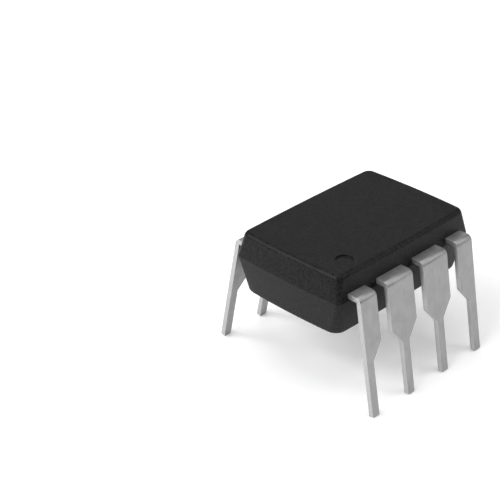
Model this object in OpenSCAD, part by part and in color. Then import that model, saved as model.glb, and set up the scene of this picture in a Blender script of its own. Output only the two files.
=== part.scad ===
// Eight-lead dual in-line integrated circuit package.
// A moulded resin body stands on two rows of formed leads and seals in a silicon die, the
// fingers of the leads and the fine wires between them.
// The origin is level with the lead tips, at the middle of the lead pattern. +Z is up and
// +Y points to the end with the round mark for pin 1, which is the lead at -X, +Y.
// Leads are numbered down the -X row and back up the +X row.
// The modules draw everything with Z = 0 on the parting plane of the body, and stand() lifts it.

/* [Moulded body] */
// Width of the body at its parting line
body_width = 6.5; // [6.1:0.05:6.7]
// Length of the body at its parting line
body_length = 9.55; // [9.1:0.05:10.4]
// Height of the body above its parting line
upper_height = 1.3; // [1.0:0.02:1.7]
// Depth of the body below its parting line
lower_depth = 1.9; // [1.2:0.02:2.1]
// Draft of the side walls, away from the parting line, in degrees
draft_angle = 10; // [5:0.5:12]
// Radius of the upright corners at the parting line
corner_radius = 0.55; // [0.5:0.05:1.2]
// Radius of the rounded edge round the top and round the underside
edge_radius = 0.16; // [0.06:0.01:0.2]

/* [Marks in the body] */
// Diameter of the round dimple that marks pin 1
dimple_diameter = 0.8; // [0.6:0.05:1.2]
// Depth of the dimple
dimple_depth = 0.08; // [0.04:0.01:0.2]
// Distance of the dimple's centre from the parting line of the pin 1 row
dimple_from_row = 1.18; // [1.1:0.02:1.6]
// Distance of the dimple's centre from the parting line of the end wall
dimple_from_end = 1.7; // [1.2:0.02:2.2]
// Diameter of the ejector pin's mark in the underside
ejector_diameter = 2.2; // [1.5:0.1:3]
// Depth of the ejector pin's mark
ejector_depth = 0.08; // [0.04:0.01:0.15]

/* [Leads] */
// Distance between neighbouring leads of a row
lead_pitch = 2.54; // [2.5:0.01:2.58]
// Thickness of the lead strip
lead_thickness = 0.25; // [0.2:0.01:0.3]
// Width of the narrow pin that goes into the board
pin_width = 0.46; // [0.38:0.02:0.56]
// Width of the shoulder above the pin
shoulder_width = 1.76; // [1.2:0.02:1.8]
// Length of a lead's straight stub outside the body, from the parting line to the bend
stub_length = 0.38; // [0.25:0.01:0.6]
// Height of the leads' undersides above the parting line
lead_rise = 0.1; // [0:0.01:0.15]
// Inner radius of the bend outside the body
bend_radius = 0.04; // [0.02:0.01:0.14]
// Angle by which each row leans outwards before it is put in a board, in degrees
splay_angle = 10.5; // [0:0.5:15]
// Length of the full-width shoulder below the bend
shoulder_length = 2.19; // [1.6:0.01:2.4]
// Length of the taper between shoulder and pin
taper_length = 0.82; // [0.5:0.02:1]
// Length of the narrow pin below the taper
pin_length = 2.76; // [2.4:0.02:3.2]
// Radius of the stamped corners of the taper
stamped_radius = 0.15; // [0.05:0.01:0.2]
// Radius of the corners at the pin's tip
tip_radius = 0.07; // [0.03:0.01:0.12]

/* [Lead frame in the body] */
// Width of the pad under the die, from row to row
pad_width = 2.6; // [2.3:0.05:2.8]
// Length of the pad under the die, from end to end
pad_length = 3.4; // [2.8:0.05:3.6]
// Drop of the pad below the fingers
pad_drop = 0.2; // [0.1:0.02:0.3]
// Gap between the pad and the fingertips
finger_gap = 0.3; // [0.2:0.02:0.4]
// Width of a fingertip
finger_width = 0.6; // [0.4:0.02:0.7]
// Radius of the stamped corners along a finger
finger_radius = 0.15; // [0.05:0.01:0.2]
// Distance of the end leads' fingertips from the centre line
end_finger_inset = 0.75; // [0.65:0.01:0.9]
// Distance of the middle leads' fingertips from the centre line
middle_finger_inset = 1.1; // [0.8:0.02:1.2]
// Depth of the lead's full width inside the body
shoulder_inside = 1; // [0.85:0.05:1.2]
// Radius of the notches that lock each lead in the resin
notch_radius = 0.15; // [0.08:0.01:0.2]
// Depth of the notches inside the body
notch_inside = 0.55; // [0.4:0.01:0.6]

/* [Die and wires] */
// Width of the silicon die, from row to row
die_width = 1.6; // [1.2:0.05:2]
// Length of the silicon die, from end to end
die_length = 2; // [1.4:0.05:2.6]
// Thickness of the silicon die
die_thickness = 0.3; // [0.2:0.01:0.4]
// Thickness of the adhesive under the die
adhesive_thickness = 0.03; // [0.02:0.005:0.05]
// Width of the adhesive that shows round the die
adhesive_margin = 0.08; // [0.04:0.01:0.12]
// Distance of the bond pads from the edges of the die
bond_inset = 0.13; // [0.08:0.01:0.2]
// Distance of the middle bond pads from the centre line
middle_bond_inset = 0.35; // [0.2:0.01:0.45]
// Diameter of the bond wire
wire_diameter = 0.038; // [0.03:0.002:0.06]
// Diameter of the ball that bonds a wire to the die
ball_diameter = 0.1; // [0.08:0.005:0.12]
// Height of that ball
ball_height = 0.03; // [0.02:0.005:0.04]
// Height of the wire loop above the die
loop_height = 0.22; // [0.15:0.01:0.35]
// Length of the wire's flat end on the finger
stitch_length = 0.12; // [0.08:0.01:0.16]
// Distance of the wire's end from the fingertip
stitch_inset = 0.1; // [0.06:0.01:0.14]

/* [Hidden] */

RESIN = [0.16, 0.16, 0.165];
TIN = [0.66, 0.66, 0.65];
SILVER_GLUE = [0.72, 0.72, 0.74];
SILICON = [0.3, 0.32, 0.4];
GOLD = [0.9, 0.7, 0.3];

// Leads in the whole package
LEADS = 8;
LEADS_IN_ROW = LEADS / 2;
// Chords in each stamped or moulded corner
CORNER_STEPS = 6;
// Chords in the bend of a lead
BEND_STEPS = 14;
// Segments of a full round
ROUND = 64;
// Sides of a bond wire, with a flat one underneath
WIRE_SIDES = 8;
// Chords in a wire's loop
LOOP_STEPS = 9;
// Height of the loop's two middle control points, as a share of the height that the loop reaches
LOOP_PULL = 4 / 3;
// Place of the loop's last control point before the finger, as a share of its run
LOOP_LEAN = 0.5;
// How far a cut runs past the face that it starts from
PAST = 0.1;

// Corner centres of the body, which both halves share
corner_x = body_width / 2 - corner_radius;
corner_y = body_length / 2 - corner_radius;

finger_top = lead_rise + lead_thickness;
bend_outer = bend_radius + lead_thickness;
bend_start = body_width / 2 + stub_length;
past_bend = bend_start + bend_outer + PAST;
bend_axis_z = lead_rise - bend_radius;
leg_length = shoulder_length + taper_length + pin_length;
// Height of the parting plane over the lowest edge of the lead tips
parting_height = leg_length * cos(splay_angle) + bend_radius * (1 - sin(splay_angle)) - lead_rise;

// Fingertips stand the same gap away from the pad, at its sides and at its ends
middle_tip_x = pad_width / 2 + finger_gap;
end_tip_y = pad_length / 2 + finger_gap;

pad_top = finger_top - pad_drop;
die_base = pad_top + adhesive_thickness;
die_top = die_base + die_thickness;

// Which row, which half and which place in it lead i has: the outer leads are the end leads
function in_right_row(i) = i > LEADS_IN_ROW;
function in_far_half(i) = abs(i - (LEADS + 1) / 2) < LEADS_IN_ROW / 2;
function is_end_lead(i) = i % LEADS_IN_ROW < 2;
function carries_pad(i) = i == LEADS_IN_ROW;
function pin_y(i) = lead_pitch * (is_end_lead(i) ? 1.5 : 0.5);

function unit(v) = v / norm(v);

// A closed outline given as [x, y, radius of the corner], with an arc in each corner
function rounded(outline, steps = CORNER_STEPS) = [
    for (i = [0 : len(outline) - 1])
        let (
            here = outline[i],
            before = outline[(i + len(outline) - 1) % len(outline)],
            after = outline[(i + 1) % len(outline)],
            corner = [here[0], here[1]],
            back = unit([before[0], before[1]] - corner),
            ahead = unit([after[0], after[1]] - corner),
            half = acos(back * ahead) / 2,
            centre = corner + unit(back + ahead) * here[2] / sin(half),
            start = corner + back * here[2] / tan(half) - centre,
            turn = (cross(back, ahead) < 0 ? 1 : -1) * (180 - 2 * half)
        )
        each here[2] == 0 ? [corner] : [
            for (k = [0 : steps])
                let (a = turn * k / steps)
                centre + [start[0] * cos(a) - start[1] * sin(a), start[0] * sin(a) + start[1] * cos(a)]
        ]
];

// Lifts the model from the parting plane to stand on the lead tips
module stand() {
    translate([0, 0, parting_height]) children();
}

// Turns what is drawn for the -X row and the +Y half to the place of lead i
module at_lead(i) {
    mirror([in_right_row(i) ? 1 : 0, 0, 0])
        mirror([0, in_far_half(i) ? 1 : 0, 0])
            children();
}

// Section of the wall from a corner's centre line outwards, which walls and corners share
function wall_section() =
    let (
        top = corner_radius - upper_height * tan(draft_angle),
        bottom = corner_radius - lower_depth * tan(draft_angle)
    )
    rounded([
        [0, -lower_depth, 0],
        [bottom, -lower_depth, edge_radius],
        [corner_radius, 0, 0],
        [top, upper_height, edge_radius],
        [0, upper_height, 0]
    ]);

// A straight wall that faces +X, as long as the corner centres are apart
module wall(length) {
    rotate([90, 0, 0])
        linear_extrude(height = length, center = true)
            polygon(wall_section());
}

module corner() {
    rotate_extrude(angle = 90, $fn = ROUND)
        polygon(wall_section());
}

// Draws its children at both ends of an axis
module both_ends(axis) {
    children();
    mirror(axis) children();
}

// The body before it is cut: two halves, drafted both ways from the parting line
module body_blank() {
    translate([-corner_x, -corner_y, -lower_depth])
        cube([2 * corner_x, 2 * corner_y, lower_depth + upper_height]);
    both_ends([1, 0, 0]) {
        translate([corner_x, 0, 0]) wall(2 * corner_y);
        both_ends([0, 1, 0])
            translate([corner_x, corner_y, 0]) corner();
    }
    both_ends([0, 1, 0])
        translate([0, corner_y, 0])
            rotate([0, 0, 90]) wall(2 * corner_x);
}

// The dimple next to pin 1, and the ejector pin's mark in the underside
module moulded_marks() {
    translate([
        dimple_from_row - body_width / 2,
        body_length / 2 - dimple_from_end,
        upper_height - dimple_depth
    ])
        cylinder(d = dimple_diameter, h = dimple_depth + PAST, $fn = ROUND);
    translate([0, 0, -lower_depth - PAST])
        cylinder(d = ejector_diameter, h = ejector_depth + PAST, $fn = ROUND);
}

// Edges of lead i's shoulder: an end lead is narrow on the side of the body's end wall
function shoulder_inner(i) = pin_y(i) - shoulder_width / 2;
function shoulder_outer(i) = pin_y(i) + (is_end_lead(i) ? pin_width : shoulder_width) / 2;
function shoulder_depth() = body_width / 2 - shoulder_inside;

// Points of a lead's side profile: where the flat and the leg would meet without the bend, and
// a point along the leg, both at a given distance from the axis of the bend
function bend_corner(distance) = [
    -bend_start - distance * (1 - sin(splay_angle)) / cos(splay_angle),
    bend_axis_z + distance
];
function leg_point(distance, along) = [
    -bend_start - distance * cos(splay_angle) - along * sin(splay_angle),
    bend_axis_z + distance * sin(splay_angle) - along * cos(splay_angle)
];

// Middle lead's outline seen from above, from past its bend to the fingertip beside the pad
function middle_finger(i) = [
    [-past_bend, shoulder_inner(i), 0],
    [-shoulder_depth(), shoulder_inner(i), finger_radius],
    [-middle_tip_x, middle_finger_inset - finger_width / 2, tip_radius],
    [-middle_tip_x, middle_finger_inset + finger_width / 2, tip_radius],
    [-shoulder_depth(), shoulder_outer(i), finger_radius],
    [-past_bend, shoulder_outer(i), 0]
];

// End lead's outline seen from above: it turns the corner to the end of the pad
function end_finger(i, corner) =
    let (
        near = end_finger_inset - finger_width / 2,
        far = end_finger_inset + finger_width / 2
    )
    [
        [-past_bend, shoulder_inner(i), 0],
        [-shoulder_depth(), shoulder_inner(i), finger_radius],
        [-far, end_tip_y + finger_width, finger_radius],
        [-far, end_tip_y, corner],
        [-near, end_tip_y, corner],
        [-near, shoulder_inner(i) + finger_width / 2, finger_radius],
        [-far - finger_width / 2, shoulder_outer(i), finger_radius],
        [-past_bend, shoulder_outer(i), 0]
    ];

// Lead i as stamped, seen from above, with a notch in each edge where the resin grips it
module stamped_finger(i) {
    corner = carries_pad(i) ? 0 : tip_radius;
    difference() {
        polygon(rounded(is_end_lead(i) ? end_finger(i, corner) : middle_finger(i)));
        for (y = [shoulder_inner(i), shoulder_outer(i)])
            translate([notch_inside - body_width / 2, y])
                circle(r = notch_radius, $fn = ROUND);
    }
}

// The pad under the die, and the ramp that joins it to its lead's fingertip
module pad_on_ramp() {
    translate([0, 0, pad_top - lead_thickness])
        linear_extrude(height = lead_thickness)
            polygon(rounded([
                [-pad_width / 2, -pad_length / 2, tip_radius],
                [pad_width / 2, -pad_length / 2, tip_radius],
                [pad_width / 2, pad_length / 2, tip_radius],
                [-pad_width / 2, pad_length / 2, tip_radius]
            ]));
    translate([-end_finger_inset - finger_width / 2, 0, 0])
        rotate([90, 0, 90])
            linear_extrude(height = finger_width)
                polygon([
                    [pad_length / 2, pad_top - lead_thickness],
                    [end_tip_y, lead_rise],
                    [end_tip_y, finger_top],
                    [pad_length / 2, pad_top]
                ]);
}

// The room that lead i takes in the body: the fourth lead carries the pad
module held_part(i) {
    at_lead(i) {
        translate([0, 0, lead_rise])
            linear_extrude(height = lead_thickness)
                stamped_finger(i);
        if (carries_pad(i)) pad_on_ramp();
    }
}

// The strip that the leads are formed from, as wide as half the row: flat, bend and straight leg
module formed_strip() {
    outer_end = leg_point(bend_outer, leg_length + PAST);
    inner_end = leg_point(bend_radius, leg_length + PAST);
    translate([0, 2 * lead_pitch, 0])
        rotate([90, 0, 0])
            linear_extrude(height = 2 * lead_pitch)
                polygon(rounded(
                    [
                        [0, finger_top, 0],
                        concat(bend_corner(bend_outer), bend_outer),
                        concat(outer_end, 0),
                        concat(inner_end, 0),
                        concat(bend_corner(bend_radius), bend_radius),
                        [0, lead_rise, 0]
                    ],
                    BEND_STEPS
                ));
}

// Outline of the leg, seen from outside the row: shoulder, taper and pin
function leg_outline(i) =
    let (taper_end = -shoulder_length - taper_length)
    concat(
        [
            [shoulder_inner(i), PAST, 0],
            [shoulder_inner(i), -shoulder_length, stamped_radius],
            [pin_y(i) - pin_width / 2, taper_end, stamped_radius],
            [pin_y(i) - pin_width / 2, -leg_length, tip_radius],
            [pin_y(i) + pin_width / 2, -leg_length, tip_radius]
        ],
        is_end_lead(i) ? [] : [
            [pin_y(i) + pin_width / 2, taper_end, stamped_radius],
            [shoulder_outer(i), -shoulder_length, stamped_radius]
        ],
        [[shoulder_outer(i), PAST, 0]]
    );

// The cutter that leaves lead i's leg: its outline, square to the leg's faces
module leg_cutter(i) {
    translate([-bend_start, 0, bend_axis_z])
        rotate([0, splay_angle, 0])
            translate([-bend_outer - PAST, 0, 0])
                rotate([90, 0, 90])
                    linear_extrude(height = bend_outer + 2 * PAST)
                        polygon(rounded(leg_outline(i)));
}

// The cutter that leaves lead i's flat part and its bend
module finger_cutter(i) {
    translate([0, 0, bend_axis_z - PAST])
        linear_extrude(height = bend_outer + 2 * PAST)
            stamped_finger(i);
}

// Where wire i is bonded to the die, in the frame of at_lead()
function bond_point(i) = is_end_lead(i)
    ? [bond_inset - die_width / 2, die_length / 2 - bond_inset]
    : [bond_inset - die_width / 2, middle_bond_inset];

// Where wire i ends on its finger
function stitch_point(i) = is_end_lead(i)
    ? [-end_finger_inset, end_tip_y + stitch_inset + stitch_length]
    : [-middle_tip_x - stitch_inset - stitch_length, middle_finger_inset];

function bezier(p, t) =
    pow(1 - t, 3) * p[0] + 3 * pow(1 - t, 2) * t * p[1] + 3 * (1 - t) * t * t * p[2] + pow(t, 3) * p[3];

// Middle line of a wire as [distance from the ball, height]: up, over and flat on the finger
function wire_path(reach) =
    let (
        flat = finger_top + wire_diameter / 2 * cos(180 / WIRE_SIDES),
        start = die_top + ball_height / 2,
        pull = die_top + loop_height * LOOP_PULL,
        run = reach - stitch_length,
        loop = [[0, start], [0, pull], [run * LOOP_LEAN, pull], [run, flat]]
    )
    concat([for (k = [0 : LOOP_STEPS]) bezier(loop, k / LOOP_STEPS)], [[reach, flat]]);

// Sweeps a wire's section along a path in an upright plane, with a mitre at each corner
module wire_tube(path) {
    last = len(path) - 1;
    rings = [
        for (i = [0 : last])
            let (
                arriving = i == 0 ? unit(path[1] - path[0]) : unit(path[i] - path[i - 1]),
                leaving = i == last ? arriving : unit(path[i + 1] - path[i]),
                along = unit(arriving + leaving),
                mitre = 1 / (along * leaving)
            )
            [
                for (k = [0 : WIRE_SIDES - 1])
                    let (
                        a = 360 * (k + 0.5) / WIRE_SIDES,
                        side = wire_diameter / 2 * cos(a),
                        rise = wire_diameter / 2 * sin(a) * mitre
                    )
                    [path[i][0] - along[1] * rise, side, path[i][1] + along[0] * rise]
            ]
    ];
    polyhedron(
        points = [for (ring = rings) each ring],
        faces = concat(
            [[for (k = [0 : WIRE_SIDES - 1]) k]],
            [
                for (i = [0 : last - 1], k = [0 : WIRE_SIDES - 1])
                    let (next = (k + 1) % WIRE_SIDES)
                    [i, i + 1, i + 1, i] * WIRE_SIDES + [k, k, next, next]
            ],
            [[for (k = [WIRE_SIDES - 1 : -1 : 0]) last * WIRE_SIDES + k]]
        )
    );
}

// Wire i with the squashed ball that bonds it to the die
module bonded_wire(i) {
    run = stitch_point(i) - bond_point(i);
    at_lead(i)
        translate(bond_point(i))
            rotate([0, 0, atan2(run[1], run[0])]) {
                wire_tube(wire_path(norm(run)));
                translate([0, 0, die_top]) cylinder(d = ball_diameter, h = ball_height, $fn = 12);
            }
}

// A flat block, centred on the body
module centred_slab(width, length, height, base) {
    translate([-width / 2, -length / 2, base]) cube([width, length, height]);
}

module silicon() {
    centred_slab(die_width, die_length, die_thickness, die_base);
}

module adhesive() {
    centred_slab(
        die_width + 2 * adhesive_margin, die_length + 2 * adhesive_margin, adhesive_thickness, pad_top
    );
}

// The moulded body, which fills all the space round what it seals in
module body() {
    color(RESIN)
        stand()
            difference() {
                body_blank();
                moulded_marks();
                for (i = [1 : LEADS]) held_part(i);
                adhesive();
                silicon();
                for (i = [1 : LEADS]) bonded_wire(i);
            }
}

// One stamped and bent lead, with its finger in the body
module lead(i) {
    color(TIN)
        stand()
            at_lead(i) {
                intersection() {
                    formed_strip();
                    union() {
                        finger_cutter(i);
                        leg_cutter(i);
                    }
                }
                if (carries_pad(i)) pad_on_ramp();
            }
}

module die_attach() {
    color(SILVER_GLUE) stand() adhesive();
}

module die() {
    color(SILICON) stand() silicon();
}

module bond_wire(i) {
    color(GOLD) stand() bonded_wire(i);
}

body();
lead(1);  // lead_1
lead(2);  // lead_2
lead(3);  // lead_3
lead(4);  // lead_4
lead(5);  // lead_5
lead(6);  // lead_6
lead(7);  // lead_7
lead(8);  // lead_8
die_attach();
die();
bond_wire(1);  // bond_wire_1
bond_wire(2);  // bond_wire_2
bond_wire(3);  // bond_wire_3
bond_wire(4);  // bond_wire_4
bond_wire(5);  // bond_wire_5
bond_wire(6);  // bond_wire_6
bond_wire(7);  // bond_wire_7
bond_wire(8);  // bond_wire_8
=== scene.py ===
from math import cos, radians, sin, tan

import bmesh
import bpy
from mathutils import Matrix, Vector


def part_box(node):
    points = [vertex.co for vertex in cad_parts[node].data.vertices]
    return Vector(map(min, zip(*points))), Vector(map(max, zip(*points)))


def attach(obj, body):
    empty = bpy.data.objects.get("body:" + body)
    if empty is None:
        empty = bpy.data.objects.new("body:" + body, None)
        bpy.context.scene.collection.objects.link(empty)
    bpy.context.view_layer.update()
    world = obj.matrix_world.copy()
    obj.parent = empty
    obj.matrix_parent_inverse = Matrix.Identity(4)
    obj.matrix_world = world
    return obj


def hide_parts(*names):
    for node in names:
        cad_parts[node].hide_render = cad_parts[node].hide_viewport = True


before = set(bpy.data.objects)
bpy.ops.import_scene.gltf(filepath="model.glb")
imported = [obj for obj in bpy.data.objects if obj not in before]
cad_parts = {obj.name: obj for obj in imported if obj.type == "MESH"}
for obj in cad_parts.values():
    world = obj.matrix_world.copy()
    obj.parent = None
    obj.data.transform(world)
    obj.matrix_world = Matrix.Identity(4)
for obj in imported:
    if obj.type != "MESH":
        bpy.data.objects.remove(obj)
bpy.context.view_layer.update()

# All sizes are in millimetres, and shapes are drawn with Z = 0 on the body's parting plane.
MM = 0.001
BODY_LOW, BODY_HIGH = (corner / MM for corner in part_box("body"))

# Moulded body
BODY_WIDTH = BODY_HIGH.x - BODY_LOW.x
BODY_LENGTH = BODY_HIGH.y - BODY_LOW.y
UPPER_HEIGHT = 1.3
LOWER_DEPTH = BODY_HIGH.z - BODY_LOW.z - UPPER_HEIGHT
PARTING_HEIGHT = BODY_HIGH.z - UPPER_HEIGHT
DRAFT = radians(8.4)
PARTING_CORNER = 0.16
TOP_CORNER = 0.4
UNDER_CORNER = 0.58
TOP_EDGE = 0.24
UNDER_EDGE = 0.18
ROW_CROWN = 0.06
END_CROWN = 0.1
PARTING_EDGE = 0.012

# Marks in the body
DIMPLE_RADIUS = 0.4
DIMPLE_DEPTH = 0.08
DIMPLE_FROM_ROW = 1.18
DIMPLE_FROM_END = 1.7
EJECTOR_RADIUS = 1.1
EJECTOR_DEPTH = 0.08
MARK_EDGE = 0.02
MARK_SURROUND = 1.2  # of a mark's radius
MARK_FLOOR = 0.8  # of a mark's radius

# Leads
LEADS = 8
LEADS_IN_ROW = LEADS // 2
PITCH = 2.54
END_LEAD_PLACE = 1.5 * PITCH
MIDDLE_LEAD_PLACE = 0.5 * PITCH
THICKNESS = 0.25
PIN_WIDTH = 0.46
SHOULDER_WIDTH = 1.76
STUB_LENGTH = 0.38
LEAD_RISE = 0.1
BEND_RADIUS = 0.04
SPLAY = radians(10.5)
SHOULDER_LENGTH = 2.19
TAPER_LENGTH = 0.82
PIN_LENGTH = 2.76
STAMPED_RADIUS = 0.15
TIP_RADIUS = 0.07
STAMPED_EDGE = 0.014
SHARP_ANGLE = radians(40)
PAINTED_SHEEN_FACING = 0.6  # how squarely a face must look along the row to get the painted highlight, from 0 to 1

# Lead frame in the body
PAD_WIDTH = 2.6
PAD_LENGTH = 3.4
PAD_DROP = 0.2
FINGER_GAP = 0.3
FINGER_WIDTH = 0.6
FINGER_RADIUS = 0.15
END_FINGER_INSET = 0.75
MIDDLE_FINGER_INSET = 1.1
SHOULDER_INSIDE = 1.0
NOTCH_RADIUS = 0.15
NOTCH_CORNER = 0.98 * NOTCH_RADIUS
NOTCH_INSIDE = 0.55

# Steps in the curves, and the distance within which two corners are one
FINE_STEPS = 2
MARK_STEPS = 3
CORNER_STEPS = 6
BODY_CORNER_STEPS = 12
CROWN_CUTS = 11
BEND_STEPS = 12
ROUND = 96
MERGE = 1e-5

# Places that follow from these sizes
FINGER_TOP = LEAD_RISE + THICKNESS
BEND_START = BODY_WIDTH / 2 + STUB_LENGTH
BEND_OUTER = BEND_RADIUS + THICKNESS
BEND_AXIS_Z = LEAD_RISE - BEND_RADIUS
LEG_LENGTH = SHOULDER_LENGTH + TAPER_LENGTH + PIN_LENGTH
SHOULDER_DEPTH = BODY_WIDTH / 2 - SHOULDER_INSIDE
MIDDLE_TIP_X = PAD_WIDTH / 2 + FINGER_GAP
END_TIP_Y = PAD_LENGTH / 2 + FINGER_GAP
END_TIP_NEAR = END_FINGER_INSET - FINGER_WIDTH / 2
END_TIP_FAR = END_FINGER_INSET + FINGER_WIDTH / 2
PAD_TOP = FINGER_TOP - PAD_DROP

# The floor's reach in metres, to each side
FLOOR_REACH = 3


class Signal:
    """A number or colour on its way through a finish's nodes."""

    def __init__(self, finish, socket):
        self.finish = finish
        self.socket = socket

    def math(self, operation, *values):
        return self.finish.node("ShaderNodeMath", {"operation": operation}, dict(enumerate(values)))

    def __add__(self, other):
        return self.math("ADD", self, other)

    def __radd__(self, other):
        return self.math("ADD", other, self)

    def __mul__(self, other):
        return self.math("MULTIPLY", self, other)

    def __rmul__(self, other):
        return self.math("MULTIPLY", other, self)

    def __lt__(self, other):
        return self.math("LESS_THAN", self, other)

    def __gt__(self, other):
        return self.math("GREATER_THAN", self, other)


class Finish:
    """A surface finish, worked out in millimetres over the piece."""

    def __init__(self, name):
        self.material = bpy.data.materials.new(name)
        self.material.use_nodes = True
        self.tree = self.material.node_tree
        self.shader = self.tree.nodes["Principled BSDF"]
        place = self.node("ShaderNodeTexCoord", output="Object")
        self.place = self.stretched(place, (1 / MM, 1 / MM, 1 / MM))

    def node(self, kind, settings=None, inputs=None, output=0):
        made = self.tree.nodes.new(kind)
        for name, value in (settings or {}).items():
            setattr(made, name, value)
        for name, value in (inputs or {}).items():
            self.feed(made.inputs[name], value)
        return Signal(self, made.outputs[output])

    def feed(self, socket, value):
        if isinstance(value, Signal):
            self.tree.links.new(value.socket, socket)
        else:
            socket.default_value = value

    def stretched(self, place, factors):
        return self.node("ShaderNodeVectorMath", {"operation": "MULTIPLY"}, {0: place, 1: factors})

    def noise(self, size, detail=2.0, place=None):
        """Soft random values from 0 to 1, with blots of about the given size."""
        inputs = {"Vector": place or self.place, "Scale": 1 / size, "Detail": detail}
        return self.node("ShaderNodeTexNoise", None, inputs)

    def cells(self, size, output="Distance", place=None):
        """Random cells of about the given size: the distance to their middles, or their colours."""
        inputs = {"Vector": place or self.place, "Scale": 1 / size}
        return self.node("ShaderNodeTexVoronoi", None, inputs, output)

    def spread(self, value, low, high, to_low=0.0, to_high=1.0):
        """A value eased from one range to another, and held at its ends."""
        inputs = {
            "Value": value, "From Min": low, "From Max": high, "To Min": to_low, "To Max": to_high,
        }
        return self.node("ShaderNodeMapRange", {"interpolation_type": "SMOOTHSTEP"}, inputs)

    def blend(self, amount, first, second):
        """A colour between two others."""
        inputs = {0: amount, 6: first, 7: second}
        return self.node("ShaderNodeMix", {"data_type": "RGBA"}, inputs, 2)

    def relief(self, height, depth):
        """Surface relief: a height from 0 to 1, times its depth in millimetres."""
        inputs = {"Height": height, "Distance": depth * MM, "Strength": 1.0}
        return self.node("ShaderNodeBump", None, inputs, "Normal")

    def surface(self, **inputs):
        for name, value in inputs.items():
            self.feed(self.shader.inputs[name.replace("_", " ")], value)
        return self.material


def grey(value, warmth=0.0):
    return (value * (1 + warmth), value, value * (1 - warmth), 1.0)


def resin():
    """Matt moulded epoxy, full of fine glass filler that shows as paler and darker grains."""
    finish = Finish("matt_resin")
    grain = finish.noise(0.05, 3.0)
    filler = finish.noise(0.12, 2.0)
    tone = finish.spread(0.6 * filler + 0.4 * grain, 0.4, 0.6)
    pale_grains = (finish.cells(0.13) < 0.18) * finish.spread(grain, 0.5, 0.6)
    ground = finish.blend(tone, grey(0.0), grey(0.009))
    return finish.surface(
        Base_Color=finish.blend(pale_grains * 0.6, ground, grey(0.038)),
        Roughness=finish.spread(filler + grain, 0.7, 1.3, 0.37, 0.49),
        Specular_IOR_Level=0.18,
        Normal=finish.relief(0.5 * grain + 0.5 * filler, 0.022),
    )


def tin():
    """Satin tin plate on a rolled strip, with fine marks along it, and a painted highlight that
    makes the sheared faces along the row paler.
    """
    finish = Finish("tin_plate")
    along_strip = finish.stretched(finish.place, (0.25, 6.0, 0.25))
    marks = finish.noise(0.35, 4.0, along_strip)
    grain = finish.noise(0.03, 3.0)
    clouds = finish.noise(0.7, 2.0)
    tone = finish.spread(0.6 * clouds + 0.4 * marks, 0.35, 0.65)
    plate = finish.blend(tone, grey(0.33, 0.004), grey(0.4, 0.002))
    # Sheared faces that look along the row get paler metal: a painted highlight that stands in for
    # the light falling on them.
    painted_sheen_faces = finish.node("ShaderNodeAttribute", {"attribute_name": "painted_sheen_faces"}, None, "Fac")
    painted_sheen_metal = finish.blend(finish.noise(0.08, 3.0), grey(0.44, 0.004), grey(0.58, 0.002))
    return finish.surface(
        Base_Color=finish.blend(painted_sheen_faces, plate, painted_sheen_metal),
        Metallic=1.0,
        Roughness=finish.spread(clouds + 0.6 * marks, 0.5, 1.1, 0.46, 0.54),
        Normal=finish.relief(0.2 * marks + 0.8 * grain, 0.001),
    )


def glue():
    """Adhesive full of silver flakes."""
    finish = Finish("silver_glue")
    flakes = finish.cells(0.02)
    lit = finish.spread(flakes, 0.2, 0.6)
    return finish.surface(
        Base_Color=finish.blend(lit, grey(0.66), grey(0.42, 0.02)),
        Metallic=finish.spread(flakes, 0.1, 0.7, 0.95, 0.5),
        Roughness=finish.spread(finish.noise(0.05), 0.3, 0.7, 0.35, 0.55),
        Normal=finish.relief(flakes, 0.004),
    )


def silicon():
    """A polished die whose top is ruled into blocks of circuit, in thin-film purples and greens."""
    finish = Finish("silicon")
    blocks = finish.cells(0.22, "Color", finish.stretched(finish.place, (1.0, 1.0, 0.0)))
    fine = finish.noise(0.012, 3.0, finish.stretched(finish.place, (1.0, 8.0, 1.0)))
    tone = finish.node("ShaderNodeSeparateColor", None, {"Color": blocks})
    tint = finish.blend(tone, (0.10, 0.11, 0.22, 1.0), (0.16, 0.24, 0.22, 1.0))
    return finish.surface(
        Base_Color=finish.blend(finish.spread(fine, 0.4, 0.6, 0.0, 0.4), tint, grey(0.33)),
        Metallic=0.85,
        Roughness=finish.spread(tone + fine, 0.5, 1.5, 0.12, 0.26),
        Normal=finish.relief(fine, 0.0006),
    )


def gold():
    """Drawn gold wire, with faint marks of the die that it was pulled through."""
    finish = Finish("gold_wire")
    marks = finish.noise(0.012, 3.0)
    return finish.surface(
        Base_Color=finish.blend(marks, (0.80, 0.52, 0.19, 1.0), (0.92, 0.67, 0.30, 1.0)),
        Metallic=1.0,
        Roughness=finish.spread(marks, 0.3, 0.7, 0.16, 0.28),
        Normal=finish.relief(marks, 0.0005),
    )


def studio_floor():
    """Pale and even, with a faint glow that lifts the shadow under the chip."""
    finish = Finish("studio_floor")
    return finish.surface(
        Base_Color=grey(0.85), Roughness=1.0, Specular_IOR_Level=0.0,
        Emission_Color=grey(1.0), Emission_Strength=0.22,
    )


def add_piece(name, bm, node, material):
    """Sets a closed shape in its place, in metres over the floor, to stand for a node."""
    bmesh.ops.recalc_face_normals(bm, faces=bm.faces)
    place = Matrix.Translation((0, 0, PARTING_HEIGHT * MM)) @ Matrix.Scale(MM, 4)
    bmesh.ops.transform(bm, matrix=place, verts=bm.verts)
    for face in bm.faces:
        face.smooth = True
    mesh = bpy.data.meshes.new(name)
    bm.to_mesh(mesh)
    bm.free()
    mesh.materials.append(material)
    piece = bpy.data.objects.new(name, mesh)
    bpy.context.scene.collection.objects.link(piece)
    piece.modifiers.new("flat_faces_stay_flat", "WEIGHTED_NORMAL")
    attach(piece, "root")
    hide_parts(node)
    return piece


def round_edges(bm, edges, offset, segments):
    return bmesh.ops.bevel(
        bm, geom=edges, offset=offset, offset_type="OFFSET", affect="EDGES",
        segments=segments, profile=0.5, material=-1,
    )


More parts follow.
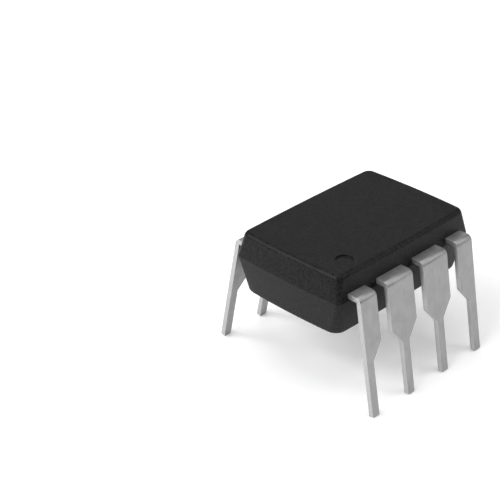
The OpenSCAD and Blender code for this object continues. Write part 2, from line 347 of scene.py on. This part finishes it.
def round_corners(bm, verts, offset, segments):
    return bmesh.ops.bevel(
        bm, geom=verts, offset=offset, offset_type="OFFSET", affect="VERTICES",
        segments=segments, profile=0.5, material=-1,
    )


def body_outline(bm, height, radius):
    """The body's outline at a height over the parting plane: drawn in by the draft, and crowned."""
    drawn_in = 2 * abs(height) * tan(DRAFT)
    width, length = BODY_WIDTH - drawn_in, BODY_LENGTH - drawn_in
    corners = bmesh.ops.create_grid(bm, x_segments=1, y_segments=1, size=0.5)["verts"]
    bmesh.ops.scale(bm, vec=(width, length, 1), verts=corners)
    bmesh.ops.translate(bm, vec=(0, 0, height), verts=corners)
    round_corners(bm, corners, radius, BODY_CORNER_STEPS)
    outline = bm.faces[:][-1]
    sides = [edge for edge in outline.edges if edge.calc_length() > width / 2]
    bmesh.ops.subdivide_edges(bm, edges=sides, cuts=CROWN_CUTS)
    outline = bm.faces[:][-1]
    for vert in outline.verts:
        x, y = vert.co.x, vert.co.y
        vert.co.x -= ROW_CROWN * (2 * x / width) * (2 * y / length) ** 2
        vert.co.y -= END_CROWN * (2 * y / length) * (2 * x / width) ** 2
    return outline


def drafted_half(bm, height, radius, edge_radius):
    """Half of the body, whose corners turn rounder from the parting plane to its level face."""
    parting = body_outline(bm, 0, PARTING_CORNER)
    level = body_outline(bm, height, radius)
    rims = [*parting.edges, *level.edges]
    bmesh.ops.delete(bm, geom=[parting], context="FACES_ONLY")
    bmesh.ops.bridge_loops(bm, edges=rims)
    round_edges(bm, list(level.edges), edge_radius * tan((radians(90) - DRAFT) / 2), CORNER_STEPS)


def sink_mark(bm, height, x, y, radius, depth):
    """A round flat-bottomed recess in the level face at a height, with softened edges."""
    level = max((f for f in bm.faces if all(abs(v.co.z - height) < MERGE for v in f.verts)),
                key=lambda face: face.calc_area())
    inwards = -1 if height > 0 else 1
    border = list(level.edges)
    bmesh.ops.delete(bm, geom=[level], context="FACES_ONLY")
    place = Matrix.Translation((x, y, height))
    ring = bmesh.ops.create_circle(
        bm, segments=ROUND, radius=radius * MARK_SURROUND, matrix=place,
    )["verts"]
    around = list({edge for vert in ring for edge in vert.link_edges})
    bmesh.ops.triangle_fill(bm, use_beauty=True, use_dissolve=False, edges=border + around)
    softened = []
    for reach, drop in ((radius, 0), (radius, depth), (radius * MARK_FLOOR, depth)):
        made = bmesh.ops.extrude_edge_only(bm, edges=around)["geom"]
        ring = [item for item in made if isinstance(item, bmesh.types.BMVert)]
        around = [e for e in made if isinstance(e, bmesh.types.BMEdge)
                  and e.verts[0] in ring and e.verts[1] in ring]
        for vert in ring:
            side = Vector((vert.co.x - x, vert.co.y - y, 0)).normalized()
            vert.co = Vector((x, y, height + inwards * drop)) + side * reach
        if reach == radius:
            softened += around
    bmesh.ops.edgeloop_fill(bm, edges=around)
    round_edges(bm, softened, MARK_EDGE, MARK_STEPS)


def moulding():
    bm = bmesh.new()
    upper_form = (UPPER_HEIGHT, TOP_CORNER, TOP_EDGE)
    lower_form = (-LOWER_DEPTH, UNDER_CORNER, UNDER_EDGE)
    for half_form in (upper_form, lower_form):
        half = bmesh.new()
        drafted_half(half, *half_form)
        mesh = bpy.data.meshes.new("half")
        half.to_mesh(mesh)
        half.free()
        bm.from_mesh(mesh)
        bpy.data.meshes.remove(mesh)
    bmesh.ops.remove_doubles(bm, verts=bm.verts, dist=MERGE)
    bmesh.ops.recalc_face_normals(bm, faces=bm.faces)
    parting = [e for e in bm.edges if all(abs(v.co.z) < MERGE for v in e.verts)]
    round_edges(bm, parting, PARTING_EDGE, FINE_STEPS)
    sink_mark(bm, UPPER_HEIGHT, DIMPLE_FROM_ROW - BODY_WIDTH / 2, BODY_LENGTH / 2 - DIMPLE_FROM_END,
              DIMPLE_RADIUS, DIMPLE_DEPTH)
    sink_mark(bm, -LOWER_DEPTH, 0, 0, EJECTOR_RADIUS, EJECTOR_DEPTH)
    return bm


def rounded_face(bm, outline):
    """A flat face from the corners of its outline, each with the radius that it is rounded to."""
    points = [Vector(point) for point, _ in outline]
    verts = [bm.verts.new(point) for point in points]
    bm.faces.new(verts)
    for i, (_, radius) in enumerate(outline):
        if radius:
            before = points[i - 1] - points[i]
            after = points[(i + 1) % len(points)] - points[i]
            round_corners(bm, [verts[i]], radius / tan(before.angle(after) / 2), CORNER_STEPS)


def leg_point(y, down):
    """A point on the outer face of a leg, at a distance below its bend."""
    x = -BEND_START - BEND_OUTER * cos(SPLAY) - down * sin(SPLAY)
    return (x, y, BEND_AXIS_Z + BEND_OUTER * sin(SPLAY) - down * cos(SPLAY))


def notch(y, inwards):
    """The notch in an edge of a finger where the resin grips it, from its outer side inwards."""
    middle = NOTCH_INSIDE - BODY_WIDTH / 2
    deep = y + inwards * NOTCH_RADIUS
    return [
        ((middle - NOTCH_RADIUS, y, FINGER_TOP), 0),
        ((middle - NOTCH_RADIUS, deep, FINGER_TOP), NOTCH_CORNER),
        ((middle + NOTCH_RADIUS, deep, FINGER_TOP), NOTCH_CORNER),
        ((middle + NOTCH_RADIUS, y, FINGER_TOP), 0),
    ]


def finger_outline(inner, outer, end_lead, tip_radius):
    """The flat part of a lead, seen from above: to the pad's side, or round to its end."""
    if end_lead:
        tip = [
            (-END_TIP_FAR, END_TIP_Y + FINGER_WIDTH, FINGER_RADIUS),
            (-END_TIP_FAR, END_TIP_Y, tip_radius),
            (-END_TIP_NEAR, END_TIP_Y, tip_radius),
            (-END_TIP_NEAR, inner + FINGER_WIDTH / 2, FINGER_RADIUS),
            (-END_TIP_FAR - FINGER_WIDTH / 2, outer, FINGER_RADIUS),
        ]
    else:
        tip = [
            (-MIDDLE_TIP_X, MIDDLE_FINGER_INSET - FINGER_WIDTH / 2, tip_radius),
            (-MIDDLE_TIP_X, MIDDLE_FINGER_INSET + FINGER_WIDTH / 2, tip_radius),
            (-SHOULDER_DEPTH, outer, FINGER_RADIUS),
        ]
    return [
        ((-BEND_START, inner, FINGER_TOP), 0),
        *notch(inner, 1),
        ((-SHOULDER_DEPTH, inner, FINGER_TOP), FINGER_RADIUS),
        *[((x, y, FINGER_TOP), radius) for x, y, radius in tip],
        *reversed(notch(outer, -1)),
        ((-BEND_START, outer, FINGER_TOP), 0),
    ]


def leg_outline(inner, outer, pin, end_lead):
    """The leg of a lead on its outer face: shoulder, taper and pin."""
    taper_end = SHOULDER_LENGTH + TAPER_LENGTH
    half_pin = PIN_WIDTH / 2
    widening = [] if end_lead else [
        (leg_point(pin + half_pin, taper_end), STAMPED_RADIUS),
        (leg_point(outer, SHOULDER_LENGTH), STAMPED_RADIUS),
    ]
    return [
        (leg_point(inner, 0), 0),
        (leg_point(inner, SHOULDER_LENGTH), STAMPED_RADIUS),
        (leg_point(pin - half_pin, taper_end), STAMPED_RADIUS),
        (leg_point(pin - half_pin, LEG_LENGTH), TIP_RADIUS),
        (leg_point(pin + half_pin, LEG_LENGTH), TIP_RADIUS),
        *widening,
        (leg_point(outer, 0), 0),
    ]


def add_pad(bm):
    """The pad under the die, and the ramp up to its lead's fingertip."""
    side, end = PAD_WIDTH / 2, PAD_LENGTH / 2
    rounded_face(bm, [
        ((-side, -end, PAD_TOP), TIP_RADIUS),
        ((side, -end, PAD_TOP), TIP_RADIUS),
        ((side, end, PAD_TOP), TIP_RADIUS),
        ((-END_TIP_NEAR, end, PAD_TOP), 0),
        ((-END_TIP_FAR, end, PAD_TOP), 0),
        ((-side, end, PAD_TOP), TIP_RADIUS),
    ])
    rounded_face(bm, [
        ((-END_TIP_FAR, end, PAD_TOP), 0),
        ((-END_TIP_NEAR, end, PAD_TOP), 0),
        ((-END_TIP_NEAR, END_TIP_Y, FINGER_TOP), 0),
        ((-END_TIP_FAR, END_TIP_Y, FINGER_TOP), 0),
    ])


def formed_lead(number):
    """A stamped and bent lead: its outer face, then the thickness of the strip behind it."""
    end_lead = number % LEADS_IN_ROW < 2
    carries_pad = number == LEADS_IN_ROW
    pin = END_LEAD_PLACE if end_lead else MIDDLE_LEAD_PLACE
    inner = pin - SHOULDER_WIDTH / 2
    outer = pin + (PIN_WIDTH if end_lead else SHOULDER_WIDTH) / 2

    bm = bmesh.new()
    rounded_face(bm, finger_outline(inner, outer, end_lead, 0 if carries_pad else TIP_RADIUS))
    rounded_face(bm, leg_outline(inner, outer, pin, end_lead))
    edge = bm.edges.new([bm.verts.new((-BEND_START, y, FINGER_TOP)) for y in (inner, outer)])
    bmesh.ops.spin(
        bm, geom=[edge, *edge.verts], cent=(-BEND_START, 0, BEND_AXIS_Z), axis=(0, -1, 0),
        angle=radians(90) - SPLAY, steps=BEND_STEPS,
    )
    if carries_pad:
        add_pad(bm)
    bmesh.ops.remove_doubles(bm, verts=bm.verts, dist=MERGE)
    bmesh.ops.recalc_face_normals(bm, faces=bm.faces)
    top = max(bm.faces, key=lambda face: face.calc_center_median().z)
    if top.normal.z < 0:
        bmesh.ops.reverse_faces(bm, faces=bm.faces)
    bmesh.ops.solidify(bm, geom=bm.faces[:], thickness=THICKNESS)
    bmesh.ops.recalc_face_normals(bm, faces=bm.faces)
    sharp = [e for e in bm.edges if e.calc_face_angle(0) > SHARP_ANGLE]
    round_edges(bm, sharp, STAMPED_EDGE, FINE_STEPS)
    bm.normal_update()
    # Marks the faces that look along the row, which the tin finish paints paler as a painted
    # highlight.
    painted_sheen_faces = bm.faces.layers.float.new("painted_sheen_faces")
    for face in bm.faces:
        face[painted_sheen_faces] = float(abs(face.normal.y) > PAINTED_SHEEN_FACING)

    right_row = number > LEADS_IN_ROW
    far_half = abs(number - (LEADS + 1) / 2) < LEADS_IN_ROW / 2
    bmesh.ops.scale(bm, vec=(-1 if right_row else 1, -1 if far_half else 1, 1), verts=bm.verts)
    return bm


def photo_camera():
    """The photo's camera, aimed at a point beside the middle of the parting plane."""
    azimuth, elevation = radians(224.535), radians(30.45)
    across, above, distance = -4.926, -0.321, 69.581
    back = Vector((sin(azimuth) * cos(elevation), -cos(azimuth) * cos(elevation), sin(elevation)))
    right = Vector((cos(azimuth), sin(azimuth), 0))
    up = back.cross(right)
    data = bpy.data.cameras.new("camera")
    data.lens = 105.417
    data.sensor_width = 36
    data.clip_start = 0.001
    data.clip_end = 10
    camera = bpy.data.objects.new("camera", data)
    bpy.context.scene.collection.objects.link(camera)
    camera.matrix_world = Matrix((right, up, back)).transposed().to_4x4()
    aim = right * across + up * above + Vector((0, 0, PARTING_HEIGHT))
    camera.location = (aim + back * distance) * MM
    bpy.context.scene.camera = camera


def soft_light(name, place, size, power):
    """A square soft box in metres and watts that faces the middle of the floor."""
    data = bpy.data.lights.new(name, "AREA")
    data.size = size
    data.energy = power
    light = bpy.data.objects.new(name, data)
    bpy.context.scene.collection.objects.link(light)
    light.location = place
    light.rotation_euler = (-Vector(place)).to_track_quat("-Z", "Y").to_euler()


def studio():
    """A pale floor under five soft lights, in a dim room."""
    bm = bmesh.new()
    bmesh.ops.create_grid(bm, x_segments=1, y_segments=1, size=FLOOR_REACH)
    mesh = bpy.data.meshes.new("floor")
    bm.to_mesh(mesh)
    bm.free()
    mesh.materials.append(studio_floor())
    floor = bpy.data.objects.new("floor", mesh)
    bpy.context.scene.collection.objects.link(floor)

    world = bpy.data.worlds.new("room")
    world.use_nodes = True
    room = world.node_tree.nodes["Background"]
    room.inputs["Color"].default_value = (0.96, 0.98, 1.0, 1.0)
    room.inputs["Strength"].default_value = 0.05
    bpy.context.scene.world = world
    bpy.context.scene.view_settings.view_transform = "Standard"

    soft_light("overhead", (0, 0, 0.45), 0.36, 1.0)
    soft_light("from_the_left", (0.3, 0.3, 0.3), 0.3, 1.5)
    soft_light("from_the_right", (-0.3, -0.36, 0.36), 0.45, 1.1)
    soft_light("from_behind", (0.3, -0.3, 0.36), 0.36, 0.42)
    soft_light("from_the_end", (0, 0.42, 0.33), 0.3, 1.55)


photo_camera()
studio()

add_piece("moulding", moulding(), "body", resin())
tin_plate = tin()
for number in range(1, LEADS + 1):
    lead = formed_lead(number)
    add_piece(f"formed_lead_{number}", lead, f"lead_{number}", tin_plate)

inner_finishes = {"die_attach": glue(), "die": silicon()}
gold_finish = gold()
for number in range(1, LEADS + 1):
    inner_finishes[f"bond_wire_{number}"] = gold_finish
for name, finish in inner_finishes.items():
    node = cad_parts[name]
    node.data.materials.clear()
    node.data.materials.append(finish)
